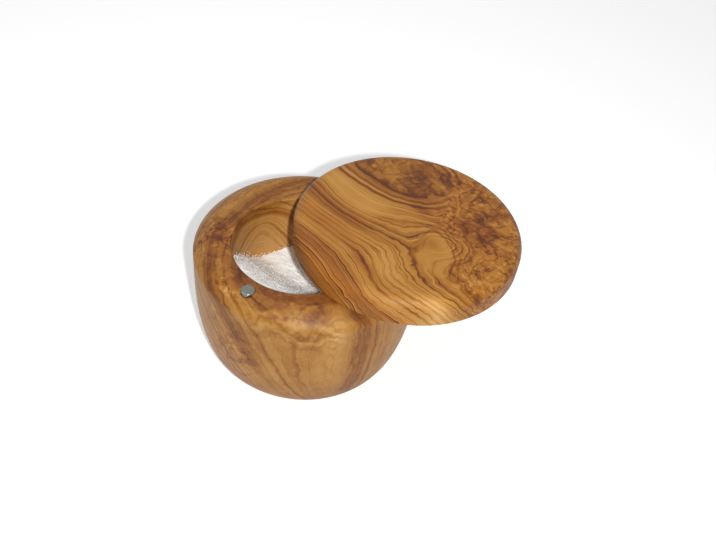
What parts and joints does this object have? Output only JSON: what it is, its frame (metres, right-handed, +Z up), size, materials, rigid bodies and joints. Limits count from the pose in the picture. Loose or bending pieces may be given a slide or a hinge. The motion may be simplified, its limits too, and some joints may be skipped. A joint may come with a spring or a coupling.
{
  "type": "salt box with swivel lid",
  "caption": "Turned wooden salt box with an off-centre cavity and a thick disc lid that swivels sideways on a hidden pin and is caught closed by disc magnets.",
  "frame": {"origin": "centre of the flat foot, on the surface that the bowl stands on", "axes": "+Z up along the bowl's turning axis; +Y towards the pivot pin, so -Y is towards the magnets of the closed lid; at rest the lid is swung open towards +X"},
  "size_m": [0.1334, 0.1216, 0.0793],
  "materials": {
    "bowl_wood": "oiled olive wood, honey ground with brown figure",
    "lid_wood": "oiled olive wood, honey ground with dark stripes and burl",
    "steel": "ground steel dowel",
    "nickel": "nickel-plated disc magnet, slightly dull",
    "salt": "loose white salt grains"
  },
  "bodies": {
    "base": {"bowl": "bowl_wood", "pivot_pin": "steel", "bowl_magnet": "nickel", "salt": "salt"},
    "lid": {"lid": "lid_wood", "lid_magnet": "nickel"}
  },
  "joints": [
    {"name": "lid_swivel", "type": "hinge", "parent": "base", "child": "lid", "pos_m": [0, 0.0375, 0.0663], "axis": [0, 0, 1], "continuous": true}
  ]
}
